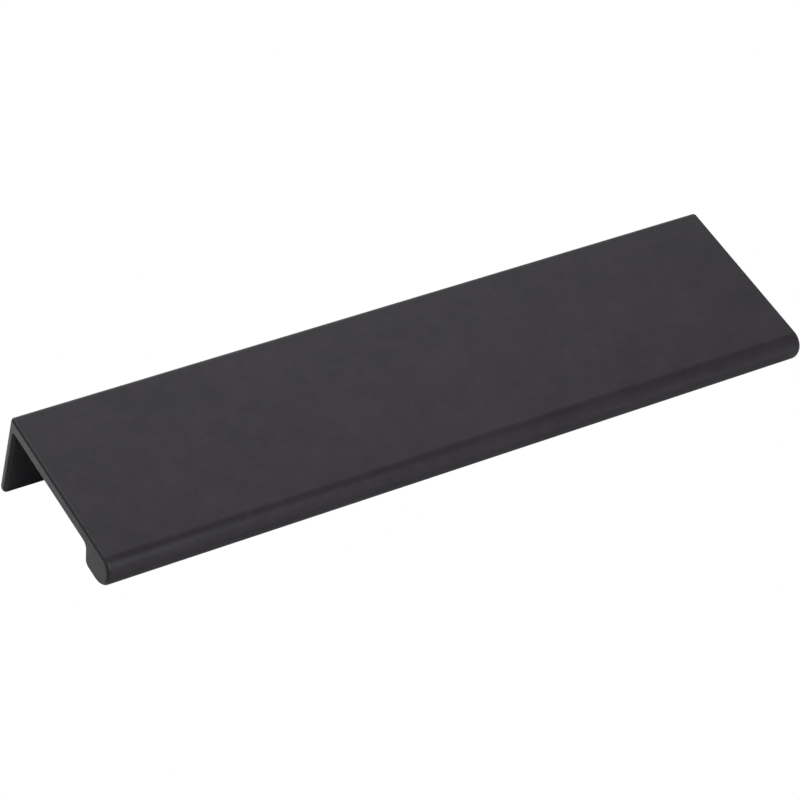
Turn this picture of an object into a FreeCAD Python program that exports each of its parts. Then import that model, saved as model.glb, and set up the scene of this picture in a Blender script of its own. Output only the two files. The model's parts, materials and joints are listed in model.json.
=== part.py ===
"""Tab pull that hooks over the top edge of a cabinet door or drawer front.

One length of aluminium extrusion, cut square and softened at both ends. A flat plate lies on
the door's edge and reaches out in front of it, where a thick rounded lip is what the fingers
pull on. A thin leg hangs down behind the door and takes two countersunk screws.

The frame is in millimetres: +X along the pull, -Y towards the lip, +Z up. The origin is the
middle of the screw line, on the face of the leg that lies against the back of the door.
"""

import FreeCAD, Part
import math
import os

# Overall sizes
LENGTH = 152.4
DEPTH = 38.1  # back of the leg to the front of the lip
LEG_HEIGHT = 19.05  # top of the plate to the foot of the leg
LIP_HEIGHT = 7.1  # top of the plate to the foot of the lip

# Walls of the section
PLATE_THICKNESS = 3.0
LEG_THICKNESS = 2.0
LIP_FOOT_WIDTH = 7.8  # front of the lip to its heel, before the corners are rounded
LIP_HEEL_SLOPE_DEG = 12.8  # the lip's inner face leans out towards the plate above it

# Corner radii of the section; the outer ones are larger than the softened end's radius
BACK_CORNER_RADIUS = 0.9
NOSE_RADIUS = 2.9
CHIN_RADIUS = 4.1
HEEL_RADIUS = 1.6
LIP_ROOT_RADIUS = 1.0
LEG_ROOT_RADIUS = 0.3
FOOT_RADIUS = 0.95

# Softened edges
END_EDGE_RADIUS = 0.7
SCREW_RIM_RADIUS = 0.15

# Screws
SCREW_HOLE_DIAMETER = 3.8
SCREW_LAND = 0.4  # straight hole left on the door's side of the countersink
COUNTERSINK_ANGLE_DEG = 82.0
SCREW_END_DISTANCE = 12.2  # hole centre to the nearer end of the pull

# Workshop allowances
OVERSHOOT = 1.0  # how far a cutting tool stands past the face that it cuts
LEAST_STRAIGHT = 0.05  # straight run left between two corner arcs
IN_PLANE = 1e-4  # an edge this close to a plane lies in it
FULL_TURN_DEG = 360

# Places that follow from the sizes; the screws stand halfway down the inside of the leg
UNDERSIDE_Z = (LEG_HEIGHT - PLATE_THICKNESS) / 2
TOP_Z = UNDERSIDE_Z + PLATE_THICKNESS
DOOR_FACE_Y = 0.0
BACK_Y = DOOR_FACE_Y + LEG_THICKNESS
FRONT_Y = BACK_Y - DEPTH
HALF_LENGTH = LENGTH / 2
SCREW_X = HALF_LENGTH - SCREW_END_DISTANCE


def vector(x, y, z):
    """Return a point or direction in the part's frame."""
    return FreeCAD.Vector(x, y, z)


def section_corners():
    """Return the section's corners as (y, z, radius), from the top back corner forwards."""
    lip_foot_z = TOP_Z - LIP_HEIGHT
    leg_foot_z = TOP_Z - LEG_HEIGHT
    heel_y = FRONT_Y + LIP_FOOT_WIDTH
    lean = (LIP_HEIGHT - PLATE_THICKNESS) * math.tan(math.radians(LIP_HEEL_SLOPE_DEG))
    return [
        (BACK_Y, TOP_Z, BACK_CORNER_RADIUS),
        (FRONT_Y, TOP_Z, NOSE_RADIUS),
        (FRONT_Y, lip_foot_z, CHIN_RADIUS),
        (heel_y, lip_foot_z, HEEL_RADIUS),
        (heel_y + lean, UNDERSIDE_Z, LIP_ROOT_RADIUS),
        (DOOR_FACE_Y, UNDERSIDE_Z, LEG_ROOT_RADIUS),
        (DOOR_FACE_Y, leg_foot_z, FOOT_RADIUS),
        (BACK_Y, leg_foot_z, FOOT_RADIUS),
    ]


def corner_half_angle(before, corner, after):
    """Return half of the angle between the two sides that meet at a corner, in radians."""
    return (before - corner).getAngle(after - corner) / 2


def fitted_radii(points, radii):
    """Return the corner radii, each cut back where its arc would outgrow one of its sides."""
    count = len(points)
    setbacks = []
    for i, radius in enumerate(radii):
        half_angle = corner_half_angle(points[i - 1], points[i], points[(i + 1) % count])
        setbacks.append(radius / math.tan(half_angle))
    shares = [1.0] * count
    for i in range(count):
        after = (i + 1) % count
        room = (points[after] - points[i]).Length - LEAST_STRAIGHT
        share = min(1.0, room / (setbacks[i] + setbacks[after]))
        shares[i] = min(shares[i], share)
        shares[after] = min(shares[after], share)
    return [radius * share for radius, share in zip(radii, shares)]


def rounded_corner(before, corner, after, radius):
    """Return where a tangent arc starts, passes its middle and ends at one corner."""
    half_angle = corner_half_angle(before, corner, after)
    to_before = (before - corner).normalize()
    to_after = (after - corner).normalize()
    bisector = (to_before + to_after).normalize()
    setback = radius / math.tan(half_angle)
    middle = corner + bisector * (radius / math.sin(half_angle) - radius)
    return corner + to_before * setback, middle, corner + to_after * setback


def section_wire(x):
    """Return the section in the plane at x, as straight runs joined by tangent arcs."""
    corners = section_corners()
    count = len(corners)
    points = [vector(x, y, z) for y, z, radius in corners]
    radii = fitted_radii(points, [radius for y, z, radius in corners])
    arcs = []
    for i in range(count):
        arcs.append(rounded_corner(points[i - 1], points[i], points[(i + 1) % count], radii[i]))
    edges = []
    for i, (start, middle, end) in enumerate(arcs):
        next_start = arcs[(i + 1) % count][0]
        edges.append(Part.Arc(start, middle, end).toShape())
        edges.append(Part.LineSegment(end, next_start).toShape())
    return Part.Wire(edges)


def extrusion():
    """Return the section drawn out to the full length, before any machining."""
    face = Part.Face(section_wire(-HALF_LENGTH))
    return face.extrude(vector(LENGTH, 0, 0))


def screw_cutter(x):
    """Return the revolved tool that drills and countersinks one screw hole from behind."""
    hole_radius = SCREW_HOLE_DIAMETER / 2
    cone_start = DOOR_FACE_Y + SCREW_LAND
    cone_end = BACK_Y + OVERSHOOT
    flare = (cone_end - cone_start) * math.tan(math.radians(COUNTERSINK_ANGLE_DEG / 2))
    outline = [
        vector(x, DOOR_FACE_Y - OVERSHOOT, 0),
        vector(x + hole_radius, DOOR_FACE_Y - OVERSHOOT, 0),
        vector(x + hole_radius, cone_start, 0),
        vector(x + hole_radius + flare, cone_end, 0),
        vector(x, cone_end, 0),
    ]
    face = Part.Face(Part.makePolygon(outline + outline[:1]))
    return face.revolve(vector(x, 0, 0), vector(0, 1, 0), FULL_TURN_DEG)


def edges_in_plane(shape, axis, position):
    """Return the shape's edges that lie wholly in one plane square to an axis (0, 1 or 2)."""
    found = []
    for edge in shape.Edges:
        box = edge.BoundBox
        low = (box.XMin, box.YMin, box.ZMin)[axis]
        high = (box.XMax, box.YMax, box.ZMax)[axis]
        if abs(low - position) < IN_PLANE and abs(high - position) < IN_PLANE:
            found.append(edge)
    return found


def countersink_rims(shape):
    """Return the circular edges where the countersinks open on the back of the leg."""
    return [edge for edge in edges_in_plane(shape, 1, BACK_Y) if edge.Closed]


def tab_pull():
    """Return the finished pull: drawn, cut to length, ends softened, drilled and deburred."""
    solid = extrusion()
    for end_x in (-HALF_LENGTH, HALF_LENGTH):
        solid = solid.makeFillet(END_EDGE_RADIUS, edges_in_plane(solid, 0, end_x))
    for screw_x in (-SCREW_X, SCREW_X):
        solid = solid.cut(screw_cutter(screw_x))
    solid = solid.makeFillet(SCREW_RIM_RADIUS, countersink_rims(solid))
    return solid.Solids[0]


def main():
    """Build the pull and write its STEP file."""
    os.makedirs("parts", exist_ok=True)
    pull = tab_pull()
    pull.exportStep("parts/tab_pull.step")
    box = pull.BoundBox
    print("valid", pull.isValid(), "faces", len(pull.Faces), "volume mm3", round(pull.Volume, 1))
    print("x", box.XMin, box.XMax, "y", box.YMin, box.YMax, "z", box.ZMin, box.ZMax)


main()
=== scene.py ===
"""Look of a matt black tab pull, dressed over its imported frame.

The pull's visible body is one section drawn out by Geometry Nodes, with the same corners, walls
and screw holes as the frame's solid but with finely rounded edges. It wears one thin matt black
coat. The stage is a white sweep and a white table card under soft studio light, seen at the
photograph's angle.
"""

import json
import logging
import math
from collections.abc import Iterable, Mapping
from dataclasses import dataclass, field
from enum import Enum

import bpy
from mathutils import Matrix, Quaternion, Vector


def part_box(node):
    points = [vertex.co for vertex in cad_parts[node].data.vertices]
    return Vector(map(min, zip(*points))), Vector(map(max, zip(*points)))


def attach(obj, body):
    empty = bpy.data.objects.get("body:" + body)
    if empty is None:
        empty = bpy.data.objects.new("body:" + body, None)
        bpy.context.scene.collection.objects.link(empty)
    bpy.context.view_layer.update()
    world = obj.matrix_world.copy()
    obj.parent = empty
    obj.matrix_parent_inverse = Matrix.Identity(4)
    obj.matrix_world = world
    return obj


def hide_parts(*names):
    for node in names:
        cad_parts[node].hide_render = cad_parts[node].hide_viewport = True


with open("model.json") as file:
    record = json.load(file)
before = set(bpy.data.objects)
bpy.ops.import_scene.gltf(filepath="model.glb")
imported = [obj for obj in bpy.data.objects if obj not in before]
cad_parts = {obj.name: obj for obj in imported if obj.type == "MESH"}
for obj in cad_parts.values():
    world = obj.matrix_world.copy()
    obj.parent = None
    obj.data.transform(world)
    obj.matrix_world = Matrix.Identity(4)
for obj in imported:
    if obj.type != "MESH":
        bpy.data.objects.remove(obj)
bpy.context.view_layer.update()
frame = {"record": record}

MM = 0.001
BODY = "root"
NODE = "tab_pull"
LOG = logging.getLogger("tab_pull")


def linear(colour: str) -> tuple[float, float, float, float]:
    """Turn an sRGB hex colour into the linear colour that a shader takes.

    Args:
        colour: Six hex digits after a hash sign.

    Returns:
        Linear red, green, blue and an alpha of one.
    """
    channels = [int(colour[i:i + 2], 16) / 255 for i in (1, 3, 5)]
    straight = [c / 12.92 if c <= 0.04045 else ((c + 0.055) / 1.055) ** 2.4 for c in channels]
    return (*straight, 1.0)


def direction(azimuth_deg: float, elevation_deg: float) -> Vector:
    """Turn two angles into a unit vector; zero azimuth is the front, at -Y, and +90 is +X."""
    turn, lift = math.radians(azimuth_deg), math.radians(elevation_deg)
    return Vector(
        (math.sin(turn) * math.cos(lift), -math.cos(turn) * math.cos(lift), math.sin(lift))
    )


def add_node(
    tree: bpy.types.NodeTree,
    kind: str,
    feeds: Mapping[str, object] | Iterable[object] = (),
    **settings: object,
) -> bpy.types.Node:
    """Add a node to a tree, with its settings, values and incoming links.

    Args:
        tree: The tree that takes the node.
        kind: Blender's name for the type of node.
        feeds: What each input gets, by name or in order: a value, a socket, or a node whose
            first output is meant.
        settings: Properties of the node itself.

    Returns:
        The new node.
    """
    node = tree.nodes.new(kind)
    for name, value in settings.items():
        setattr(node, name, value)
    pairs = feeds.items() if isinstance(feeds, Mapping) else enumerate(feeds)
    for key, value in pairs:
        if isinstance(value, bpy.types.Node):
            value = value.outputs[0]
        if isinstance(value, bpy.types.NodeSocket):
            tree.links.new(value, node.inputs[key])
        else:
            node.inputs[key].default_value = value
    return node


def paper_sheet(
    name: str, corners: Iterable[Vector], paper_name: str, shader: str, colour: str
) -> bpy.types.Object:
    """Lay a flat sheet of plain paper.

    Args:
        name: The name of the sheet.
        corners: Its four corners in order, in millimetres.
        paper_name: The name of its material.
        shader: Blender's name for the type of shader that the paper has.
        colour: The colour of the paper, as sRGB hex.

    Returns:
        The sheet, lying in the scene.
    """
    mesh = bpy.data.meshes.new(name)
    mesh.from_pydata([corner * MM for corner in corners], [], [(0, 1, 2, 3)])
    paper = bpy.data.materials.new(paper_name)
    paper.use_nodes = True
    tree = paper.node_tree
    tree.nodes.clear()
    surface = add_node(tree, shader, {"Color": linear(colour)})
    add_node(tree, "ShaderNodeOutputMaterial", {"Surface": surface})
    mesh.materials.append(paper)
    sheet = bpy.data.objects.new(name, mesh)
    bpy.context.scene.collection.objects.link(sheet)
    return sheet


class Grain(Enum):
    """The scales at which the coat varies, each as the size of one patch in millimetres."""

    # The real powder melts to grains of about 0.05 mm; they are drawn coarser, so that they show
    POWDER = 0.3
    PEEL = 1.6
    CLOUD = 12.0


@dataclass(frozen=True)
class MattBlackCoat:
    """Matt black coat on extruded aluminium, sprayed and baked.

    It is a thin dielectric film full of fine filler, so it gives the eye a soft grey sheen that
    wraps round every edge, no mirror image, and a faint powdery grain.
    """

    deep: str = "#282429"
    pale: str = "#332f36"
    deep_end: float = 0.38
    pale_end: float = 0.62
    ior: float = 1.5
    roughness_low: float = 0.40
    roughness_high: float = 0.45
    grain_height_mm: float = 0.009
    peel_height_mm: float = 0.006
    plain_octaves: float = 2.0
    plain_falloff: float = 0.5
    cloud_octaves: float = 6.0
    cloud_falloff: float = 0.95

    def material(self) -> bpy.types.Material:
        """Build the coat as a node material.

        Returns:
            The finished material.
        """
        coat = bpy.data.materials.new("matt_black_coat_on_aluminium")
        coat.use_nodes = True
        tree = coat.node_tree
        tree.nodes.clear()
        place = add_node(tree, "ShaderNodeTexCoord").outputs["Object"]
        noises = {}
        for grain in Grain:
            cloudy = grain is Grain.CLOUD
            noises[grain] = add_node(
                tree,
                "ShaderNodeTexNoise",
                {
                    "Vector": place,
                    "Scale": 1 / (grain.value * MM),
                    "Detail": self.cloud_octaves if cloudy else self.plain_octaves,
                    "Roughness": self.cloud_falloff if cloudy else self.plain_falloff,
                },
            )
        cloud = noises[Grain.CLOUD]
        tone = add_node(tree, "ShaderNodeValToRGB", {"Fac": cloud})
        stops = ((self.deep_end, self.deep), (self.pale_end, self.pale))
        for stop, (position, colour) in zip(tone.color_ramp.elements, stops):
            stop.position = position
            stop.color = linear(colour)
        rough = add_node(
            tree,
            "ShaderNodeMapRange",
            {"Value": cloud, "To Min": self.roughness_high, "To Max": self.roughness_low},
        )
        peel = add_node(
            tree,
            "ShaderNodeBump",
            {"Height": noises[Grain.PEEL], "Distance": self.peel_height_mm * MM},
        )
        powder = add_node(
            tree,
            "ShaderNodeBump",
            {
                "Height": noises[Grain.POWDER],
                "Distance": self.grain_height_mm * MM,
                "Normal": peel,
            },
        )
        shader = add_node(
            tree,
            "ShaderNodeBsdfPrincipled",
            {"Base Color": tone, "Roughness": rough, "IOR": self.ior, "Normal": powder},
        )
        add_node(tree, "ShaderNodeOutputMaterial", {"Surface": shader})
        return coat


@dataclass
class PullBody:
    """The whole pull: one section drawn out, its ends softened and its leg drilled.

    Lengths are in millimetres. The overall sizes, walls and holes come from the frame.
    """

    lip_height: float = 7.1
    lip_foot_width: float = 7.8
    lip_heel_slope_deg: float = 12.8
    back_corner_radius: float = 0.9
    nose_radius: float = 2.9
    chin_radius: float = 4.1
    heel_radius: float = 1.6
    lip_root_radius: float = 1.0
    leg_root_radius: float = 0.3
    foot_radius: float = 0.95
    end_edge_radius: float = 0.7
    screw_land: float = 0.4
    countersink_angle_deg: float = 82.0
    rim_break: float = 0.05
    overshoot: float = 1.0
    arc_steps: int = 14
    end_steps: int = 7
    round_steps: int = 96
    sharp_angle_deg: float = 32.0
    low: Vector = field(init=False)
    high: Vector = field(init=False)
    mounts: dict[str, dict] = field(init=False)

    def __post_init__(self) -> None:
        """Read the overall box and the mounts from the frame."""
        low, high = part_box(NODE)
        self.low, self.high = Vector(low) / MM, Vector(high) / MM
        self.mounts = {mount["name"]: mount for mount in frame["record"]["mounts"]}

    def corners(self) -> list[tuple[float, float, float]]:
        """List the section's corners from the top back corner forwards.

        Returns:
            One (y, z, radius) for each corner, in millimetres.
        """
        back, front = self.high.y, self.low.y
        top, leg_foot = self.high.z, self.low.z
        door_face = self.mounts["door_back_seat"]["pos_m"][1] / MM
        underside = self.mounts["door_edge_seat"]["pos_m"][2] / MM
        lip_foot = top - self.lip_height
        heel = front + self.lip_foot_width
        lean = (underside - lip_foot) * math.tan(math.radians(self.lip_heel_slope_deg))
        return [
            (back, top, self.back_corner_radius),
            (front, top, self.nose_radius),
            (front, lip_foot, self.chin_radius),
            (heel, lip_foot, self.heel_radius),
            (heel + lean, underside, self.lip_root_radius),
            (door_face, underside, self.leg_root_radius),
            (door_face, leg_foot, self.foot_radius),
            (back, leg_foot, self.foot_radius),
        ]

    def outline(self) -> bpy.types.Object:
        """Make the sharp-cornered section as a loop of edges in the XY plane.

        Returns:
            An object whose points carry the radius that each corner takes.
        """
        corners = self.corners()
        points = [(y * MM, z * MM, 0.0) for y, z, radius in corners]
        edges = [(i, (i + 1) % len(points)) for i in range(len(points))]
        mesh = bpy.data.meshes.new("pull_section")
        mesh.from_pydata(points, edges, [])
        radii = mesh.attributes.new("corner_radius", "FLOAT", "POINT")
        radii.data.foreach_set("value", [radius * MM for y, z, radius in corners])
        section = bpy.data.objects.new("pull_section", mesh)
        bpy.context.scene.collection.objects.link(section)
        return section

    def sizes(self) -> dict[str, float | int]:
        """Give the value of each named input of the body's tree, in metres and counts."""
        screws = self.mounts["screw_holes"]["dims"]
        wall = self.high.y - self.mounts["door_back_seat"]["pos_m"][1] / MM
        flare = math.radians(self.countersink_angle_deg / 2)
        return {
            "Half Length": self.high.x * MM,
            "End Edge Radius": self.end_edge_radius * MM,
            "Screw Count": screws["count"],
            "Screw Spacing": screws["spacing_x_mm"] * MM,
            "Hole Radius": screws["hole_r_mm"] * MM,
            "Leg Thickness": wall * MM,
            "Screw Land": self.screw_land * MM,
            "Countersink Slope": math.tan(flare),
            "Rim Break": self.rim_break * MM,
            "Rim Slope": math.tan((math.pi / 2 + flare) / 2),
            "Overshoot": self.overshoot * MM,
            "Sharp Angle": math.radians(self.sharp_angle_deg),
            "Arc Steps": self.arc_steps,
            "End Steps": self.end_steps,
            "Round Steps": self.round_steps,
        }

    def tree(self) -> tuple[bpy.types.NodeTree, dict[str, str]]:
        """Build the node tree that turns the section into the pull.

        Returns:
            The tree, and the identifier of each of its inputs by name.
        """
        tree = bpy.data.node_groups.new("drawn_pull", "GeometryNodeTree")
        face = tree.interface
        face.new_socket("Section", in_out="INPUT", socket_type="NodeSocketGeometry")
        names = {}
        for name, value in self.sizes().items():
            kind = "NodeSocketInt" if isinstance(value, int) else "NodeSocketFloat"
            names[name] = face.new_socket(name, in_out="INPUT", socket_type=kind).identifier
        material = face.new_socket("Coat", in_out="INPUT", socket_type="NodeSocketMaterial")
        names["Coat"] = material.identifier
        face.new_socket("Pull", in_out="OUTPUT", socket_type="NodeSocketGeometry")
        given = add_node(tree, "NodeGroupInput").outputs
        bar = self.drawn_bar(tree, given)
        drilled = self.drilled(tree, given, bar)
        shaded = self.shaded(tree, given, drilled)
        real = add_node(tree, "GeometryNodeRealizeInstances", [shaded])
        coated = add_node(
            tree, "GeometryNodeSetMaterial", {"Geometry": real, "Material": given["Coat"]}
        )
        add_node(tree, "NodeGroupOutput", [coated])
        return tree, names

    def drawn_bar(self, tree: bpy.types.NodeTree, given: bpy.types.NodeOutputs) -> bpy.types.Node:
        """Round the section's corners and draw it out, inset step by step round both ends.

        Args:
            tree: The tree being built.
            given: The tree's inputs.

        Returns:
            The node that gives the undrilled bar, lying along X.
        """
        loop = add_node(tree, "GeometryNodeMeshToCurve", [given["Section"]])
        radius = add_node(tree, "GeometryNodeInputNamedAttribute", ["corner_radius"])
        section = add_node(
            tree,
            "GeometryNodeFilletCurve",
            {"Curve": loop, "Count": given["Arc Steps"], "Radius": radius, "Limit Radius": True},
            mode="POLY",
        )
        tangent = add_node(tree, "GeometryNodeInputTangent")
        outward = add_node(
            tree, "ShaderNodeVectorMath", [tangent, (0.0, 0.0, 1.0)], operation="CROSS_PRODUCT"
        )
        section = add_node(tree, "GeometryNodeCaptureAttribute", [section])
        section.capture_items.new("VECTOR", "Outward")
        tree.links.new(outward.outputs[0], section.inputs[1])
        # The stations are numbered from end to end, and each half of them follows the quarter
        # circle of its own end: reach is how far out one stands, inset how far it shrinks
        index = add_node(tree, "GeometryNodeInputIndex")
        before_middle = add_node(
            tree, "ShaderNodeMath", [given["End Steps"], 0.5], operation="ADD"
        )
        from_middle = add_node(
            tree, "ShaderNodeMath", [index, before_middle], operation="SUBTRACT"
        )
        side = add_node(tree, "ShaderNodeMath", [from_middle], operation="SIGN")
        distance = add_node(tree, "ShaderNodeMath", [from_middle], operation="ABSOLUTE")
        step = add_node(tree, "ShaderNodeMath", [distance, 0.5], operation="SUBTRACT")
        share = add_node(tree, "ShaderNodeMath", [step, given["End Steps"]], operation="DIVIDE")
        turn = add_node(tree, "ShaderNodeMath", [share, math.pi / 2], operation="MULTIPLY")
        sine = add_node(tree, "ShaderNodeMath", [turn], operation="SINE")
        cosine = add_node(tree, "ShaderNodeMath", [turn], operation="COSINE")
        softened = given["End Edge Radius"]
        straight = add_node(
            tree, "ShaderNodeMath", [given["Half Length"], softened], operation="SUBTRACT"
        )
        reach = add_node(
            tree, "ShaderNodeMath", [sine, softened, straight], operation="MULTIPLY_ADD"
        )
        along = add_node(tree, "ShaderNodeMath", [side, reach], operation="MULTIPLY")
        station = add_node(tree, "ShaderNodeCombineXYZ", {"Z": along})
        whole = add_node(tree, "ShaderNodeMath", [1.0, cosine], operation="SUBTRACT")
        inset = add_node(tree, "ShaderNodeMath", [whole, softened], operation="MULTIPLY")
        stations = add_node(
            tree, "ShaderNodeMath", [given["End Steps"], 2.0, 2.0], operation="MULTIPLY_ADD"
        )
        path = add_node(tree, "GeometryNodeCurvePrimitiveLine", {"End": (0.0, 0.0, 1.0)})
        path = add_node(
            tree, "GeometryNodeResampleCurve", {"Curve": path, "Count": stations}, mode="COUNT"
        )
        path = add_node(tree, "GeometryNodeSetPosition", {"Geometry": path, "Position": station})
        path = add_node(tree, "GeometryNodeCaptureAttribute", [path])
        path.capture_items.new("FLOAT", "Inset")
        tree.links.new(inset.outputs[0], path.inputs[1])
        bar = add_node(
            tree,
            "GeometryNodeCurveToMesh",
            {"Curve": path, "Profile Curve": section, "Fill Caps": True},
        )
        inwards = add_node(
            tree, "ShaderNodeMath", [path.outputs[1], -1.0], operation="MULTIPLY"
        )
        pull_in = add_node(
            tree,
            "ShaderNodeVectorMath",
            {"Vector": section.outputs[1], "Scale": inwards},
            operation="SCALE",
        )
        bar = add_node(tree, "GeometryNodeSetPosition", {"Geometry": bar, "Offset": pull_in})
        place = add_node(tree, "GeometryNodeInputPosition")
        drawn = add_node(tree, "ShaderNodeSeparateXYZ", [place]).outputs
        lying = add_node(tree, "ShaderNodeCombineXYZ", [drawn["Z"], drawn["X"], drawn["Y"]])
        return add_node(tree, "GeometryNodeSetPosition", {"Geometry": bar, "Position": lying})

    def screw_cutter(
        self, tree: bpy.types.NodeTree, given: bpy.types.NodeOutputs
    ) -> bpy.types.Node:
        """Make the stepped tool that drills, countersinks and deburrs one hole, along +Z.

        It is a unit cylinder of five rings, each moved to its own height and radius.

        Args:
            tree: The tree being built.
            given: The tree's inputs.

        Returns:
            The node that gives the tool.
        """
        hole, wall, rim = given["Hole Radius"], given["Leg Thickness"], given["Rim Break"]
        start = add_node(tree, "ShaderNodeMath", [0.0, given["Overshoot"]], operation="SUBTRACT")
        cone_top = add_node(tree, "ShaderNodeMath", [wall, rim], operation="SUBTRACT")
        cone_height = add_node(
            tree, "ShaderNodeMath", [cone_top, given["Screw Land"]], operation="SUBTRACT"
        )
        cone_radius = add_node(
            tree,
            "ShaderNodeMath",
            [cone_height, given["Countersink Slope"], hole],
            operation="MULTIPLY_ADD",
        )
        rim_top = add_node(tree, "ShaderNodeMath", [wall, rim], operation="ADD")
        rim_height = add_node(tree, "ShaderNodeMath", [rim_top, cone_top], operation="SUBTRACT")
        rim_radius = add_node(
            tree,
            "ShaderNodeMath",
            [rim_height, given["Rim Slope"], cone_radius],
            operation="MULTIPLY_ADD",
        )
        end = add_node(tree, "ShaderNodeMath", [wall, given["Overshoot"]], operation="ADD")
        rings = [
            (start, hole),
            (given["Screw Land"], hole),
            (cone_top, cone_radius),
            (rim_top, rim_radius),
            (end, rim_radius),
        ]
        spans = len(rings) - 1
        blank = add_node(
            tree,
            "GeometryNodeMeshCylinder",
            {
                "Vertices": given["Round Steps"],
                "Side Segments": spans,
                "Radius": 1.0,
                "Depth": float(spans),
            },
            fill_type="NGON",
        )
        place = add_node(tree, "GeometryNodeInputPosition")
        spot = add_node(tree, "ShaderNodeSeparateXYZ", [place]).outputs
        # The blank is centred, and the half beyond its own rounds each height to a ring's number
        ring = add_node(tree, "ShaderNodeMath", [spot["Z"], (spans + 1) / 2], operation="ADD")
        height = add_node(tree, "GeometryNodeIndexSwitch", {"Index": ring}, data_type="FLOAT")
        radius = add_node(tree, "GeometryNodeIndexSwitch", {"Index": ring}, data_type="FLOAT")
        for switch, column in ((height, 0), (radius, 1)):
            while len(switch.index_switch_items) < len(rings):
                switch.index_switch_items.new()
            for i, values in enumerate(rings):
                value = values[column]
                source = value.outputs[0] if isinstance(value, bpy.types.Node) else value
                tree.links.new(source, switch.inputs[str(i)])
        widths = [
            add_node(tree, "ShaderNodeMath", [spot[axis], radius], operation="MULTIPLY")
            for axis in ("X", "Y")
        ]
        turned = add_node(tree, "ShaderNodeCombineXYZ", [*widths, height])
        return add_node(tree, "GeometryNodeSetPosition", {"Geometry": blank, "Position": turned})

    def drilled(
        self, tree: bpy.types.NodeTree, given: bpy.types.NodeOutputs, bar: bpy.types.Node
    ) -> bpy.types.Node:
        """Drill and countersink the row of screw holes from behind the leg.

        Args:
            tree: The tree being built.
            given: The tree's inputs.
            bar: The node that gives the undrilled bar.

        Returns:
            The node that gives the drilled bar.
        """
        cutter = self.screw_cutter(tree, given)
        cutter = add_node(
            tree,
            "GeometryNodeTransform",
            {"Geometry": cutter, "Rotation": (-math.pi / 2, 0.0, 0.0)},
        )
        half = add_node(
            tree, "ShaderNodeMath", [given["Screw Spacing"], 0.5], operation="MULTIPLY"
        )
        first = add_node(tree, "ShaderNodeMath", [0.0, half], operation="SUBTRACT")
        row = add_node(
            tree,
            "GeometryNodeMeshLine",
            {
                "Count": given["Screw Count"],
                "Start Location": add_node(tree, "ShaderNodeCombineXYZ", [first]),
                "Offset": add_node(tree, "ShaderNodeCombineXYZ", [half]),
            },
            mode="END_POINTS",
        )
        cutters = add_node(
            tree, "GeometryNodeInstanceOnPoints", {"Points": row, "Instance": cutter}
        )
        cutters = add_node(tree, "GeometryNodeRealizeInstances", [cutters])
        return add_node(
            tree,
            "GeometryNodeMeshBoolean",
            {"Mesh 1": bar, "Mesh 2": cutters},
            operation="DIFFERENCE",
            solver="EXACT",
        )

    def shaded(
        self, tree: bpy.types.NodeTree, given: bpy.types.NodeOutputs, body: bpy.types.Node
    ) -> bpy.types.Node:
        """Shade every face smooth and keep the machined edges crisp.

        Args:
            tree: The tree being built.
            given: The tree's inputs.
            body: The node that gives the body.

        Returns:
            The node that gives the shaded body.
        """
        faces = add_node(
            tree, "GeometryNodeSetShadeSmooth", {"Geometry": body, "Shade Smooth": True}
        )
        angle = add_node(tree, "GeometryNodeInputMeshEdgeAngle")
        gentle = add_node(
            tree,
            "FunctionNodeCompare",
            {"A": angle.outputs["Unsigned Angle"], "B": given["Sharp Angle"]},
            operation="LESS_THAN",
        )
        return add_node(
            tree,
            "GeometryNodeSetShadeSmooth",
            {"Geometry": faces, "Shade Smooth": gentle},
            domain="EDGE",
        )

    def build(self, coat: bpy.types.Material) -> bpy.types.Object:
        """Make the pull's visible body as one plain mesh.

        Args:
            coat: The material that the body wears.

        Returns:
            The finished body, at the origin, with its place in its mesh.
        """
        source = self.outline()
        tree, names = self.tree()
        drawing = source.modifiers.new("drawn_pull", "NODES")
        drawing.node_group = tree
        for name, value in self.sizes().items():
            drawing[names[name]] = value
        drawing[names["Coat"]] = coat
        even = source.modifiers.new("even_normals", "WEIGHTED_NORMAL")
        even.keep_sharp = True
        graph = bpy.context.evaluated_depsgraph_get()
        mesh = bpy.data.meshes.new_from_object(
            source.evaluated_get(graph), preserve_all_data_layers=True, depsgraph=graph
        )
        mesh.name = "pull_body"
        body = bpy.data.objects.new("pull_body", mesh)
        bpy.context.scene.collection.objects.link(body)
        bpy.data.objects.remove(source)
        return body


@dataclass(frozen=True)
class PhotoCamera:
    """The camera of the photograph, worked out from the outline of the pull.

    The pull lay tilted on its two feet, so in its own frame the camera is rolled.
    """

    azimuth_deg: float = -42.474
    elevation_deg: float = 45.337
    roll_deg: float = 15.511
    distance_mm: float = 621.83
    aim_mm: tuple[float, float, float] = (-7.308, -20.374, 11.025)
    focal_px: float = 3382.0
    image_px: int = 800
    sensor_mm: float = 36.0

    def build(self) -> bpy.types.Object:
        """Set the camera up and make it the scene's own.

        Returns:
            The camera.
        """
        data = bpy.data.cameras.new("photo_camera")
        data.sensor_width = self.sensor_mm
        data.lens = self.focal_px / self.image_px * self.sensor_mm
        camera = bpy.data.objects.new("photo_camera", data)
        back = direction(self.azimuth_deg, self.elevation_deg)
        camera.location = (Vector(self.aim_mm) + back * self.distance_mm) * MM
        level = (-back).to_track_quat("-Z", "Y")
        camera.rotation_mode = "QUATERNION"
        camera.rotation_quaternion = level @ Quaternion((0, 0, 1), math.radians(self.roll_deg))
        bpy.context.scene.collection.objects.link(camera)
        bpy.context.scene.camera = camera
        return camera


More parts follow.
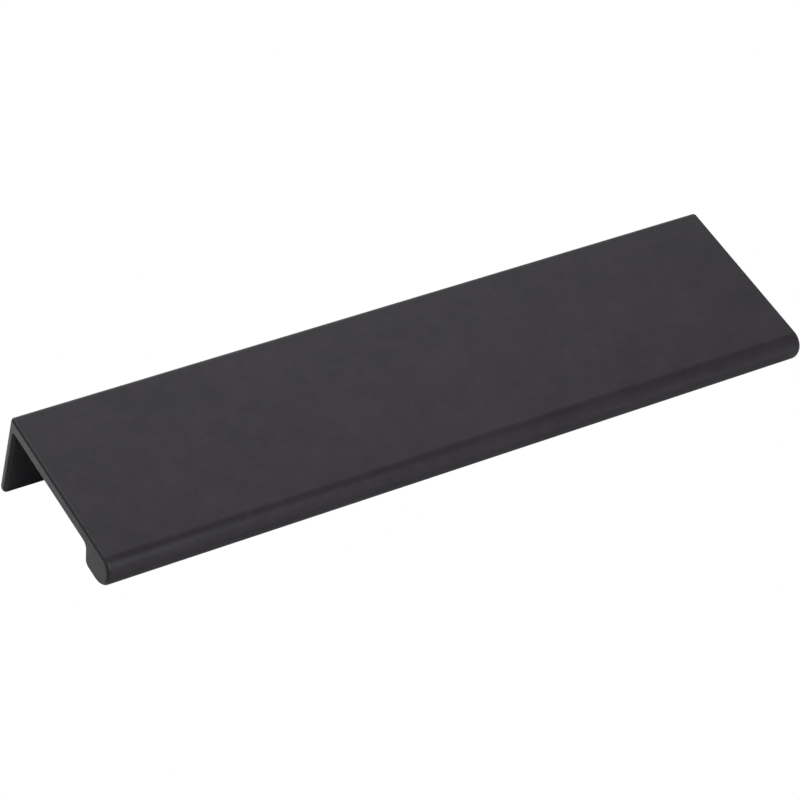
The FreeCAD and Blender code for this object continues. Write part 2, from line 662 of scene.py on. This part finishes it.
@dataclass(frozen=True)
class Softbox:
    """A square diffused light that faces the pull and stays out of the picture."""

    name: str
    azimuth_deg: float
    elevation_deg: float
    width_mm: float
    radiance: float
    distance_mm: float = 1000.0

    def build(self, target_mm: Vector) -> None:
        """Hang the light.

        Args:
            target_mm: The point that the light faces.
        """
        data = bpy.data.lights.new(self.name, "AREA")
        data.shape = "SQUARE"
        data.size = self.width_mm * MM
        data.energy = self.radiance * math.pi * data.size ** 2
        light = bpy.data.objects.new(self.name, data)
        away = direction(self.azimuth_deg, self.elevation_deg)
        light.location = (target_mm + away * self.distance_mm) * MM
        light.rotation_euler = away.to_track_quat("Z", "Y").to_euler()
        light.visible_camera = False
        bpy.context.scene.collection.objects.link(light)


@dataclass(frozen=True)
class TableCard:
    """The white table under the pull, left out of the camera's sight as in the cut-out.

    It touches the foot of the leg and the chin of the lip, so in the pull's own frame it is
    tilted. It throws soft light up at the pull and keeps the hollow behind the lip dark. It ends
    just beyond the pull's near end, so that the rounded rim of that end stays dark. It throws no
    shadow, so the low lights reach the underside of the pull in views from below.
    """

    tilt_deg: float = 19.6
    drop_mm: float = 7.28
    near_edge_mm: float = -77.0
    far_edge_mm: float = 600.0
    half_depth_mm: float = 600.0
    paper: str = "#e7e7e7"

    def build(self) -> None:
        """Lay the card."""
        tilt = math.radians(self.tilt_deg)
        up = Vector((0.0, math.sin(tilt), math.cos(tilt)))
        along = Vector((1.0, 0.0, 0.0))
        across = up.cross(along)
        middle = up * -self.drop_mm
        near, far, half = self.near_edge_mm, self.far_edge_mm, self.half_depth_mm
        spots = ((near, -half), (far, -half), (far, half), (near, half))
        corners = [middle + along * x + across * y for x, y in spots]
        card = paper_sheet(
            "table_card", corners, "white_table_paper", "ShaderNodeBsdfDiffuse", self.paper
        )
        card.visible_camera = False
        card.visible_shadow = False


@dataclass(frozen=True)
class Studio:
    """The white sweep and soft light of a cut-out product photograph.

    Seen by the camera the floor and the surround are plain white, as in the cut-out. What lights
    the pull is a dim even surround, the white table that it lies on and seven soft boxes: two
    in front for the lip and the hollow, four behind and beside it for the plate, its back edge
    and the near end, and a low one for the underside.
    """

    floor_drop_mm: float = 900.0
    floor_width_mm: float = 6000.0
    sweep: str = "#ffffff"
    surround: float = 0.23
    target_mm: tuple[float, float, float] = (0.0, -17.0, 2.0)
    table: TableCard = TableCard()
    boxes: tuple[Softbox, ...] = (
        Softbox("right_softbox", -4.0, 46.0, 500.0, 4.0),
        Softbox("front_softbox", -60.0, 40.0, 500.0, 0.9),
        Softbox("left_softbox", -162.0, 32.0, 500.0, 4.2),
        Softbox("back_softbox", 146.0, 30.0, 500.0, 1.05),
        Softbox("rim_softbox", 165.0, 20.0, 500.0, 0.9),
        Softbox("low_left_softbox", -155.0, -35.0, 500.0, 1.65),
        Softbox("under_softbox", 150.0, -60.0, 500.0, 3.0),
    )

    def build(self) -> None:
        """Lay the floor and the table card, light the surround and hang the lights."""
        self.floor()
        self.world()
        self.table.build()
        for box in self.boxes:
            box.build(Vector(self.target_mm))
            LOG.info("%s: %.1f W", box.name, bpy.data.lights[box.name].energy)

    def floor(self) -> None:
        """Lay the white floor, which lights nothing and takes no shadow."""
        half = self.floor_width_mm / 2
        spots = ((-half, -half), (half, -half), (half, half), (-half, half))
        corners = [Vector((x, y, -self.floor_drop_mm)) for x, y in spots]
        floor = paper_sheet(
            "white_floor", corners, "white_paper_sweep", "ShaderNodeEmission", self.sweep
        )
        floor.visible_diffuse = False
        floor.visible_glossy = False
        floor.visible_shadow = False

    def world(self) -> None:
        """Make the surround white to the camera and a dim even light to the pull."""
        world = bpy.data.worlds.new("studio_surround")
        bpy.context.scene.world = world
        world.use_nodes = True
        # Sampled along the bounces alone, the surround stays hidden behind the table card
        world.cycles.sampling_method = "NONE"
        tree = world.node_tree
        tree.nodes.clear()
        seen = add_node(tree, "ShaderNodeLightPath").outputs["Is Camera Ray"]
        white = {"Color": linear(self.sweep)}
        even = add_node(tree, "ShaderNodeBackground", {**white, "Strength": self.surround})
        paper = add_node(tree, "ShaderNodeBackground", {**white, "Strength": 1.0})
        mixed = add_node(tree, "ShaderNodeMixShader", [seen, even, paper])
        add_node(tree, "ShaderNodeOutputWorld", {"Surface": mixed})


def main() -> None:
    """Build the stage, the camera and the pull, and report each piece."""
    logging.basicConfig(level=logging.INFO, format="%(name)s: %(message)s")
    bpy.context.scene.view_settings.view_transform = "Standard"
    PhotoCamera().build()
    Studio().build()
    coat = MattBlackCoat().material()
    body = PullBody().build(coat)
    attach(body, BODY)
    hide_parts(NODE)
    mesh = body.data
    LOG.info("%s: %d points, %d faces", body.name, len(mesh.vertices), len(mesh.polygons))


if __name__ == "__main__":
    main()
